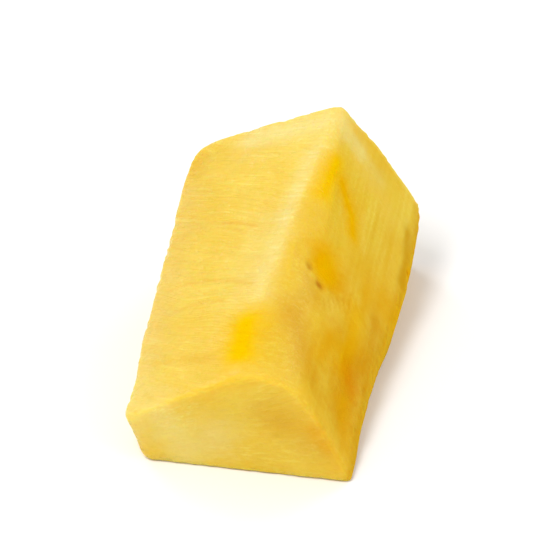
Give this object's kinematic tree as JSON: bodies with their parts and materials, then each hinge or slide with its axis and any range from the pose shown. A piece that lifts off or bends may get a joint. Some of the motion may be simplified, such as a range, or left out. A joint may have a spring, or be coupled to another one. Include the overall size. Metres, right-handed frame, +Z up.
{
  "type": "pineapple chunk",
  "caption": "Hand-cut chunk of peeled, cored pineapple: a tapering block with a sloping ridge, softly rounded knife edges and a flat cut underside to rest on.",
  "frame": {"origin": "centre of the footprint's bounding box, on the surface that the chunk rests on", "axes": "+Z up, +Y back along the length towards the higher end, +X to the outer, skin side"},
  "size_m": [0.0424, 0.0598, 0.0312],
  "materials": {
    "pineapple_flesh": "moist cut fruit, satin"
  },
  "bodies": {
    "root": {"pineapple_chunk": "pineapple_flesh"}
  },
  "joints": []
}
